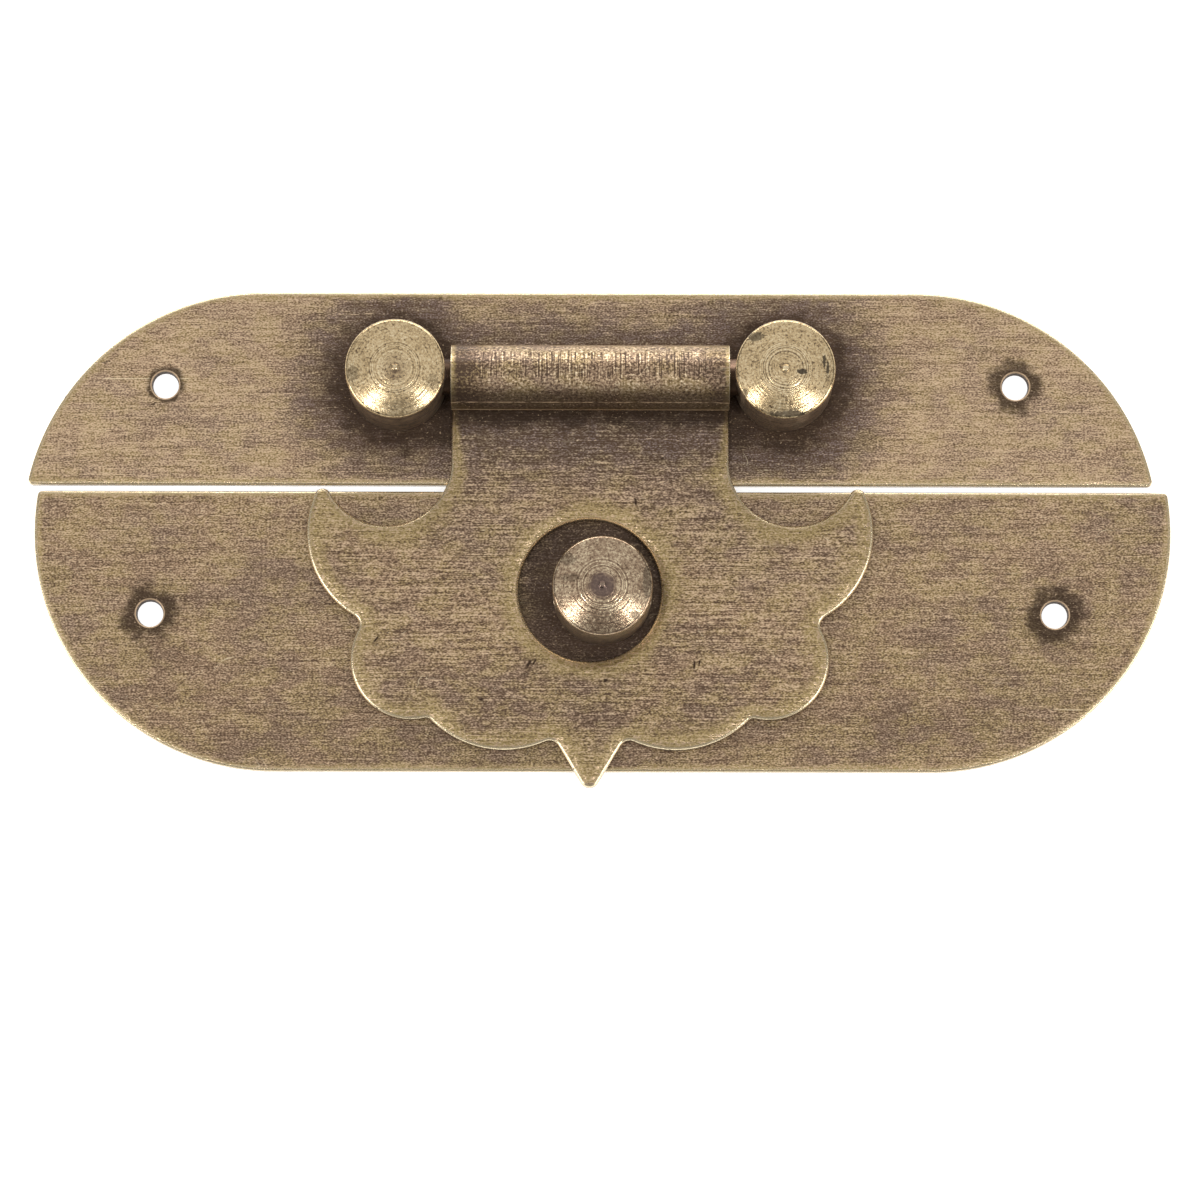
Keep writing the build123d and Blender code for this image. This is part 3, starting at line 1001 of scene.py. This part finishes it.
def turned_brass(name, finish, seed, rim_z, middle_tone, dull_middle, stains):
    """Turned brass: a worn, speckled and ringed top with stains, and dark banded sides."""
    material, tree, shader = new_material(name)
    turned = attribute(tree, "turned", "Vector")
    at = split(turned)
    marks = use(tree, "Turning marks", Turned=turned, Seed=seed)
    radius = marks["Radius"]
    place = seeded(turned, seed)
    fine = noise(place, (4.4, 4.4, 4.4), 2.0, 0.75) - 0.5
    cloud = noise(place, (0.6, 0.7, 0.6), 3.0, 0.6) - 0.5
    grit = ramp(noise(place, (5.6, 5.6, 5.6), 1.0, 0.5), 0.45, 0.36)
    runs = noise(place, (0.9, 0.9, 2.6), 3.0, 0.65) - 0.5

    tone = 0.54 + fine * 1.2 - grit * 0.30 + cloud * 0.7
    tone += (marks["Rings"] - 0.5) * (0.14 + window(radius, 1.0, 2.3, 0.3) * 0.5)
    middle = ramp(radius + cloud * 0.8, 1.5, 0.7)
    tone -= middle * dull_middle
    # Bright stub in the middle with a dark ring round it
    tone += ramp(radius, 0.30, 0.22) * 0.35 - window(radius, 0.36, 0.46, 0.05) * 0.3
    top = three_tones(tone, finish.dark, middle_tone, finish.bright)
    top = mix(middle * (1.3 * dull_middle), top, finish.grey * 0.9)
    stain = 0.0
    for x, y, width, height, strength in stains:
        away = flat_length((at["X"] - x) / width, (at["Y"] - y) / height) + (fine + cloud) * 1.6
        stain = most(ramp(away, 1.15, 0.75) * strength, stain)
    top = mix(stain, top, finish.side * 0.12)

    side_tone = 0.08 + marks["Bands"] * 0.55 + fine * 1.3 + runs * 1.4
    side_tone += window(at["Z"], 1.16, 1.30, 0.06) * 0.45
    side = three_tones(side_tone, finish.grime_and_shade, finish.side, finish.gold)
    on_top = ramp(at["Z"], rim_z - 0.32, rim_z - 0.14)
    worn_rim = window(at["Z"], rim_z - 0.30, rim_z - 0.12, 0.07)
    dress(shader, {
        "Base Color": mix(worn_rim * 0.6, mix(on_top, side, top), finish.bright), "Metallic": finish.metal,
        "Roughness": 0.17 + stain * 0.2 + (1.0 - on_top) * 0.16 + fine * 0.2,
        "Normal": bumped(marks["Rings"] * on_top * 0.5 + fine, 1.0, 0.004),
    })
    return material


def pin_bronze(name, finish):
    """Dull pinkish bronze of the drawn pin, with painted shade underneath and towards its left end."""
    material, tree, shader = new_material(name)
    turned = attribute(tree, "turned", "Vector")
    at = split(turned)
    mottle = use(tree, "Antique patina", Sheet=turned, Seed=PIN_SEED)["Mottle"]
    bands = use(tree, "Turning marks", Turned=turned, Seed=PIN_SEED)["Bands"]
    # Painted shade on the pin's underside and towards its left end, in the gaps beside the posts
    under = most(ramp(at["Y"], 0.9, 0.1), ramp(at["Z"], 4.0, -8.0)) * 0.9
    dress(shader, {
        "Base Color": mix(under, mix(mottle * 0.5, finish.pin, finish.brown), finish.grime_and_shade),
        "Metallic": finish.metal, "Roughness": 0.35 + mottle * 0.15, "Normal": bumped(bands, 0.2, 0.02),
    })
    return material


def floor_paper(stage):
    """Plain pale paper with its own light."""
    material, tree, shader = new_material("floor_paper")
    place = put(tree, "ShaderNodeTexCoord", None, "Object")
    shade = ramp(noise(place, (40.0, 40.0, 40.0), 2.0, 0.55), 0.0, 1.0) * 0.05
    dress(shader, {
        "Base Color": mix(shade, stage.floor, (0.85, 0.85, 0.85)), "Roughness": 0.9,
        "Emission Color": stage.floor, "Emission Strength": stage.floor_glow,
    })
    return material


# Turned pieces


def lathe_tree():
    """Geometry tree that turns a half section into a round piece, drills it across and places it."""
    sockets = {
        "Half section": GEOMETRY, "Section points": INTEGER, "Segments": INTEGER, "Drill radius": FLOAT,
        "Drill length": FLOAT, "Drill middle": VECTOR, "Turn": VECTOR, "Place": VECTOR, "Material": MATERIAL,
    }
    tree, given, out = group("Turned piece", sockets, {"Piece": GEOMETRY}, "GeometryNodeTree")
    points, segments = given["Section points"], given["Segments"]
    on_points = {"data_type": "FLOAT_VECTOR", "domain": "POINT"}
    position = put(tree, "GeometryNodeInputPosition")
    grid = put(tree, "GeometryNodeMeshGrid", {"Vertices X": segments + 1.0, "Vertices Y": points}, "Mesh")
    index = put(tree, "GeometryNodeInputIndex")
    column = calc("FLOOR", (index + 0.5) / points)
    row = calc("ROUND", index - column * points)
    inputs = {"Geometry": given["Half section"], "Value": position, "Index": row}
    section = split(put(tree, "GeometryNodeSampleIndex", inputs, "Value", **on_points))
    angle = column / segments * (2 * math.pi)
    point = put(tree, "ShaderNodeCombineXYZ", {
        "X": section["X"] * calc("COSINE", angle), "Y": section["X"] * calc("SINE", angle), "Z": section["Z"],
    })
    turned = put(tree, "GeometryNodeSetPosition", {"Geometry": grid, "Position": point})
    turned = put(tree, "GeometryNodeMergeByDistance", {"Geometry": turned, "Distance": MERGE_DISTANCE})
    inputs = {"Vertices": DRILL_SEGMENTS, "Radius": given["Drill radius"], "Depth": given["Drill length"]}
    drill = put(tree, "GeometryNodeMeshCylinder", inputs, "Mesh")
    inputs = {"Geometry": drill, "Translation": given["Drill middle"], "Rotation": ALONG_X}
    drill = put(tree, "GeometryNodeTransform", inputs)
    inputs = {"Mesh 1": turned, "Mesh 2": drill}
    cut = put(tree, "GeometryNodeMeshBoolean", inputs, "Mesh", operation="DIFFERENCE", solver="EXACT")
    drilled = calc("GREATER_THAN", given["Drill radius"], 0.0)
    inputs = {"Switch": drilled, "False": turned, "True": cut}
    either = put(tree, "GeometryNodeSwitch", inputs, input_type="GEOMETRY")
    local = put(tree, "ShaderNodeVectorMath", {0: position, "Scale": 1 / MM}, operation="SCALE")
    inputs = {"Geometry": either, "Name": "turned", "Value": local}
    marked = put(tree, "GeometryNodeStoreNamedAttribute", inputs, **on_points)
    inputs = {"Geometry": marked, "Translation": given["Place"], "Rotation": given["Turn"]}
    placed = put(tree, "GeometryNodeTransform", inputs)
    real = put(tree, "GeometryNodeRealizeInstances", {"Geometry": placed})
    wire(out[0], put(tree, "GeometryNodeSetMaterial", {"Geometry": real, "Material": given["Material"]}))


def turned_mesh(name, section, values):
    """Plain mesh of a turned piece from its half section, given as radius and height in millimetres."""
    tree = bpy.data.node_groups["Turned piece"]
    line = bpy.data.meshes.new(name + "_section")
    links = [(i, i + 1) for i in range(len(section) - 1)]
    line.from_pydata([(r * MM, 0.0, z * MM) for r, z in section], links, [])
    holder = bpy.data.objects.new(name + "_section", line)
    bpy.context.scene.collection.objects.link(holder)
    modifier = holder.modifiers.new("Turned piece", "NODES")
    modifier.node_group = tree
    values = {**values, "Section points": len(section)}
    for item in tree.interface.items_tree:
        if item.in_out == "INPUT" and item.name in values:
            modifier[item.identifier] = values[item.name]
    bpy.context.view_layer.update()
    graph = bpy.context.evaluated_depsgraph_get()
    mesh = bpy.data.meshes.new_from_object(holder.evaluated_get(graph), depsgraph=graph)
    holder.modifiers.remove(modifier)
    bpy.data.objects.remove(holder)
    bpy.data.meshes.remove(line)
    mesh.name = name
    work = bmesh.new()
    work.from_mesh(mesh)
    bmesh.ops.remove_doubles(work, verts=work.verts, dist=MERGE_DISTANCE)
    bmesh.ops.recalc_face_normals(work, faces=work.faces)
    work.to_mesh(mesh)
    work.free()
    mesh.shade_smooth()
    mesh.set_sharp_from_angle(angle=TURNED_CREASE)
    return mesh


def post_section(s, radius, foot_z, top_z, seed):
    """Half section of a turned post, from its tenon's back to the middle of its top, and its rim's height."""
    draw = np.random.RandomState(seed)
    crown_z = top_z - s["nib_height"]
    rim_z = crown_z - s["crown"]
    crown_radius = (radius**2 + s["crown"] ** 2) / (2 * s["crown"])
    flare, tenon = s["tenon_radius"] + s["rivet_flare"], s["tenon_radius"]
    foot_bevel, clear = 0.14, 0.05

    def crown_at(r):
        return crown_z - crown_radius + math.sqrt(crown_radius**2 - r**2)

    section = [
        (0.0, 0.0), (flare - clear, 0.0), (flare, 0.03), (tenon, s["rivet_depth"]), (tenon, foot_z),
        (radius - foot_bevel, foot_z), (radius, foot_z + foot_bevel),
    ]
    # Side with shallow turning waves
    side_points, side_depth = 40, 0.012
    waves = draw.uniform(-1, 1, side_points)
    for wave, z in zip(waves, np.linspace(foot_z + 0.3, rim_z - s["rim_round"] - clear, side_points)):
        section.append((radius - side_depth * (1 + wave) / 2, z))
    # Rounded rim
    slope = math.asin(radius / crown_radius)
    inner = radius - s["rim_round"]
    for turn in np.linspace(0, math.pi / 2 - slope, 8):
        rise = s["rim_round"] * (math.sin(turn) - math.cos(slope))
        section.append((inner + s["rim_round"] * math.cos(turn), crown_at(inner) + rise))
    # Ringed crown, with deeper rings half way in
    point_pitch, ring_pitch, fade_in = 0.045, 0.27, 0.4
    rough = np.convolve(draw.normal(0, 1, 200), [0.25, 0.5, 0.25], "same")
    for i, r in enumerate(np.arange(inner - 0.1, s["nib_radius"] + clear, -point_pitch)):
        deep = 1.6 if 1.1 < r < 2.2 else 1.0
        ring = math.sin(2 * math.pi * r / ring_pitch) * 0.5 + rough[i]
        section.append((r, crown_at(r) + s["ring_height"] * deep * ring * min(1.0, (inner - r) / fade_in)))
    # Stub in the middle
    nib = s["nib_radius"]
    section += [
        (nib + 0.03, crown_at(nib) + 0.01), (nib, crown_at(nib) + 0.05), (nib * 0.9, top_z - 0.02),
        (nib * 0.6, top_z), (0.0, top_z - 0.015),
    ]
    return section, rim_z


# Operators


class LATCH_OT_make_plates(bpy.types.Operator):
    """Make the lid plate and the box plate with their rounded edges and holes"""

    bl_idname = "latch.make_plates"
    bl_label = "Make plates"

    def execute(self, context):
        s, t = in_mm(context.scene.latch_sheet), in_mm(context.scene.latch_turned)
        step = s["mesh_step"]
        lid_low, lid_high = box_mm("lid_plate")
        box_low, box_high = box_mm("box_plate")
        front, back = lid_high.z, lid_low.z
        radius, middle_y = (lid_high.y - box_low.y) / 2, (lid_high.y + box_low.y) / 2
        half_length, shift = (box_high.x - box_low.x) / 2, (box_high.x + box_low.x) / 2
        edge = edge_profile(front, back, s["plate_roll"], s["plate_sink"], s["plate_round"], PLATE_BACK_ROUND)
        rivet = rivet_profile(front, back, t["rivet_flare"], t["rivet_depth"])
        for name, node, upper, mount, clean, posts, look in PLATES:
            low, high = box_mm(node)
            points, normals = plate_outline(
                low.y, high.y, upper, middle_y, radius, half_length, s["corner_round"], step
            )
            outline = points + (0.0 if upper else shift), normals
            holes = MOUNTS[mount]
            nail_radius, apart = holes["dims"]["hole_r_mm"], holes["dims"]["spacing_x_mm"]
            x, y = (part / MM for part in holes["pos_m"][:2])
            nails = [complex(x + side * apart / 2, y) for side in (-1, 1)]
            post_low, post_high = box_mm(posts[0])
            post_radius = (post_high.x - post_low.x) / 2
            feet = [complex(*((box_mm(post)[0] + box_mm(post)[1]) / 2).xy) for post in posts]
            runs = [(*outline, edge)]
            runs += [(*round_hole(nail, nail_radius, step), nail_profile(front, back)) for nail in nails]
            runs += [(*round_hole(foot, t["tenon_radius"] + TENON_PLAY, step), rivet) for foot in feet]
            loops = [(*run, np.ones(len(run[0]))) for run in runs]

            def distances(coords):
                dirt_and_shade = np.maximum(0, ring_distance(coords, feet, 0) - post_radius)
                if upper:
                    # The dirt and painted shade go on between the posts, under the knuckle
                    aside = np.maximum(np.abs(coords[:, 0]) - abs(feet[0].real), 0)
                    above = np.maximum(np.maximum(coords[:, 1] - DIRT_AND_SHADE_ABOVE, -coords[:, 1] - DIRT_AND_SHADE_BELOW), 0)
                    dirt_and_shade = np.minimum(dirt_and_shade, np.hypot(aside, above) + LID_DIRT_AND_SHADE)
                bores = [
                    ring_distance(coords, [nail], nail_radius) * factor for nail, factor in zip(nails, clean)
                ]
                return {
                    "edge": edge_distance(coords, *outline), "lip": ring_distance(coords, nails, nail_radius),
                    "bore": np.minimum(*bores), "foot": dirt_and_shade,
                }

            mesh = sheet_mesh(name, loops, step, distances)
            material = sheet_brass(name + "_brass", context.scene.latch_finish, front, look)
            place_piece(name, mesh, material, node)
        return {"FINISHED"}


class LATCH_OT_make_hasp(bpy.types.Operator):
    """Make the lobed hasp and its rolled knuckle from one sheet"""

    bl_idname = "latch.make_hasp"
    bl_label = "Make hasp"

    def execute(self, context):
        sizes = context.scene.latch_sheet
        s = in_mm(sizes)
        step, thickness = s["mesh_step"], s["hasp_thickness"]
        low, high = box_mm("hasp")
        outer = high.y
        neutral = outer - thickness / 2
        hinge_z = HINGE["pos_m"][2] / MM
        roll_length = (sizes.roll_end + math.pi / 2) * neutral
        outline = hasp_outline(s, sizes.tip_angle, high.x, -low.y, roll_length + s["lip"], step)
        hole_place = complex(0, -s["hole_below"])
        hole = round_hole(hole_place, s["hole_radius"], step)
        edge = edge_profile(thickness, 0.0, s["hasp_roll"], s["hasp_sink"], s["hasp_round"], HASP_BACK_ROUND)
        # The neck and the roll have nearly sharp edges
        rounds = np.interp(outline[0].imag, NECK_Y, NECK_ROUNDS)
        loops = [(*outline, edge, rounds), (*hole, edge, np.ones(len(hole[0])))]

        def rolled(coords):
            x, along, above = coords.T
            turn = np.clip(along, 0, roll_length) / neutral - math.pi / 2
            lip = np.maximum(along - roll_length, 0)
            from_pin = outer - above
            y = np.where(along <= 0, along, from_pin * np.cos(turn) - lip * np.sin(turn))
            z = np.where(along <= 0, low.z + above, hinge_z + from_pin * np.sin(turn) + lip * np.cos(turn))
            return np.column_stack([x, y, z])

        def distances(coords):
            along = coords[:, 1]
            rim = edge_distance(coords, *outline) * np.interp(along, WEAR_Y, WEAR_FACTOR)
            none = np.full(len(coords), FAR)
            return {
                "edge": np.minimum(rim, ring_distance(coords, [hole_place], s["hole_radius"])),
                "bore": none, "lip": none,
                # Painted shadow of the knuckle on the neck of the leaf, from just below the roll downwards
                "foot": np.where(along < 0, np.maximum(0, -LEAF_SHADOW_BELOW - along) + LEAF_SHADOW, FAR),
            }

        mesh = sheet_mesh("rolled_hasp", loops, step, distances, rolled)
        finish = context.scene.latch_finish
        material = sheet_brass("rolled_hasp_brass", finish, thickness, HASP_LOOK, roll_length)
        place_piece("rolled_hasp", mesh, material, "hasp")
        return {"FINISHED"}


class LATCH_OT_make_posts(bpy.types.Operator):
    """Turn the two hinge posts and the catch, and drill them"""

    bl_idname = "latch.make_posts"
    bl_label = "Make posts"

    def execute(self, context):
        sizes, finish = context.scene.latch_turned, context.scene.latch_finish
        t = in_mm(sizes)
        foot_z = box_mm("lid_plate")[1].z
        pin_low, pin_high = box_mm("hinge_pin")
        padlock = MOUNTS["padlock_hole"]
        for name, node, seed, top, dull in POSTS:
            low, high = box_mm(node)
            radius = (high.x - low.x) / 2
            middle = (low + high) / 2
            section, rim_z = post_section(t, radius, foot_z, high.z, seed)
            if node == "catch_post":
                drill_radius, start, end = padlock["dims"]["r_mm"], -2 * radius, 2 * radius
                drill_z = padlock["pos_m"][2] / MM
            else:
                side = 1 if middle.x < 0 else -1
                pin_end = (pin_low.x if side > 0 else pin_high.x) - middle.x
                start, end = pin_end - side * t["seat_play"], side * 1.5 * radius
                drill_radius, drill_z = t["seat_radius"], HINGE["pos_m"][2] / MM
            material = turned_brass(
                name + "_brass", finish, float(seed), rim_z, getattr(finish, top), dull, STAINS[node]
            )
            mesh = turned_mesh(name, section, {
                "Segments": sizes.segments, "Drill radius": drill_radius * MM,
                "Drill length": abs(end - start) * MM,
                "Drill middle": ((start + end) / 2 * MM, 0.0, drill_z * MM),
                "Place": (middle.x * MM, middle.y * MM, 0.0), "Material": material,
            })
            place_piece(name, mesh, material, node)
        return {"FINISHED"}


class LATCH_OT_make_pin(bpy.types.Operator):
    """Turn the hinge pin with its bevelled ends"""

    bl_idname = "latch.make_pin"
    bl_label = "Make pin"

    def execute(self, context):
        low, high = box_mm("hinge_pin")
        radius, half = (high.z - low.z) / 2, (high.x - low.x) / 2
        bevel = in_mm(context.scene.latch_turned)["pin_bevel"]
        run = [(radius, z) for z in np.linspace(-half + bevel, half - bevel, 60)]
        section = [(0.0, -half), (radius - bevel, -half), *run, (radius - bevel, half), (0.0, half)]
        material = pin_bronze("drawn_pin_bronze", context.scene.latch_finish)
        place = tuple((low + high) / 2 * MM)
        mesh = turned_mesh("drawn_pin", section, {
            "Segments": PIN_SEGMENTS, "Turn": ALONG_X, "Place": place, "Material": material,
        })
        place_piece("drawn_pin", mesh, material, "hinge_pin")
        return {"FINISHED"}


class LATCH_OT_set_stage(bpy.types.Operator):
    """Set the pale floor, the soft lights and the camera"""

    bl_idname = "latch.set_stage"
    bl_label = "Set stage"

    def execute(self, context):
        scene, stage = context.scene, context.scene.latch_stage
        half, depth = 3.0, -2e-5
        mesh = bpy.data.meshes.new("floor")
        corners = [(-half, -half, depth), (half, -half, depth), (half, half, depth), (-half, half, depth)]
        mesh.from_pydata(corners, [], [(0, 1, 2, 3)])
        mesh.materials.append(floor_paper(stage))
        floor = bpy.data.objects.new("floor", mesh)
        scene.collection.objects.link(floor)

        world = bpy.data.worlds.new("Studio")
        world.use_nodes = True
        dress(world.node_tree.nodes["Background"], {"Color": (1.0, 1.0, 1.0), "Strength": stage.surround})
        scene.world = world
        target = Vector(stage.target)
        # Lights, as direction from the latch, distance, width and height in metres and power
        for name, way, distance, width, height, power in (
            ("overhead_light", (0.0, 0.30, 0.95), 1.1, 1.1, 0.9, stage.overhead),
            ("left_light", (-0.26, -0.10, 0.96), 0.8, 0.055, 0.085, stage.side_lights),
            ("right_light", (0.25, -0.11, 0.96), 0.8, 0.055, 0.085, stage.side_lights),
            ("left_low_light", (-0.78, -0.38, 0.5), 0.9, 0.5, 0.4, stage.low_lights),
            ("right_low_light", (0.78, -0.38, 0.5), 0.9, 0.5, 0.4, stage.low_lights),
            ("rear_light", (0.0, 0.90, 0.42), 0.7, 1.0, 0.30, stage.rear_light),
        ):
            lamp = bpy.data.lights.new(name, "AREA")
            lamp.shape = "RECTANGLE"
            lamp.size, lamp.size_y, lamp.energy = width, height, power
            holder = bpy.data.objects.new(name, lamp)
            direction = Vector(way).normalized()
            facing = direction.to_track_quat("Z", "Y").to_matrix().to_4x4()
            holder.matrix_world = Matrix.Translation(target + direction * distance) @ facing
            scene.collection.objects.link(holder)

        back = Vector((0.0, -math.sin(stage.tilt), math.cos(stage.tilt)))
        right = Vector((1.0, 0.0, 0.0))
        turn = Matrix((right, back.cross(right), back)).transposed() @ Matrix.Rotation(stage.roll, 3, "Z")
        data = bpy.data.cameras.new("camera")
        data.sensor_width, data.lens = 36.0, stage.lens
        data.clip_start, data.clip_end = 0.01, 20.0
        camera = bpy.data.objects.new("camera", data)
        camera.matrix_world = Matrix.Translation(target + back * stage.distance) @ turn.to_4x4()
        scene.collection.objects.link(camera)
        scene.camera = camera
        scene.view_settings.view_transform = "Standard"
        scene.view_settings.look = "None"
        return {"FINISHED"}


class LATCH_PT_sidebar(bpy.types.Panel):
    """Sizes, finish and stage of the latch"""

    bl_idname = "LATCH_PT_sidebar"
    bl_label = "Box latch"
    bl_space_type = "VIEW_3D"
    bl_region_type = "UI"
    bl_category = "Latch"

    def draw(self, context):
        for group_name in GROUPS:
            settings = getattr(context.scene, group_name)
            column = self.layout.box().column(align=True)
            for key in type(settings).__annotations__:
                column.prop(settings, key)
        for operator in OPERATORS:
            self.layout.operator(operator.bl_idname)


GROUPS = {
    "latch_sheet": LatchSheetSizes,
    "latch_turned": LatchTurnedSizes,
    "latch_finish": LatchFinish,
    "latch_stage": LatchStage,
}
OPERATORS = (
    LATCH_OT_make_plates, LATCH_OT_make_posts, LATCH_OT_make_pin, LATCH_OT_make_hasp, LATCH_OT_set_stage
)
CLASSES = (*GROUPS.values(), *OPERATORS, LATCH_PT_sidebar)
SHARED_TREES = (
    brushed_grain_group, patina_group, worn_edge_group, dirt_and_shade_group, scratch_group, turning_group, lathe_tree
)


def register():
    """Adds the settings, the operators and the panel."""
    for cls in CLASSES:
        bpy.utils.register_class(cls)
    for key, cls in GROUPS.items():
        setattr(bpy.types.Scene, key, PointerProperty(type=cls))


def unregister():
    """Takes them away again."""
    for key in GROUPS:
        delattr(bpy.types.Scene, key)
    for cls in reversed(CLASSES):
        bpy.utils.unregister_class(cls)


def main():
    """Builds the latch on its stage."""
    register()
    for make in SHARED_TREES:
        make()
    bpy.ops.latch.make_plates()
    bpy.ops.latch.make_posts()
    bpy.ops.latch.make_pin()
    bpy.ops.latch.make_hasp()
    bpy.ops.latch.set_stage()


if __name__ == "__main__":
    main()
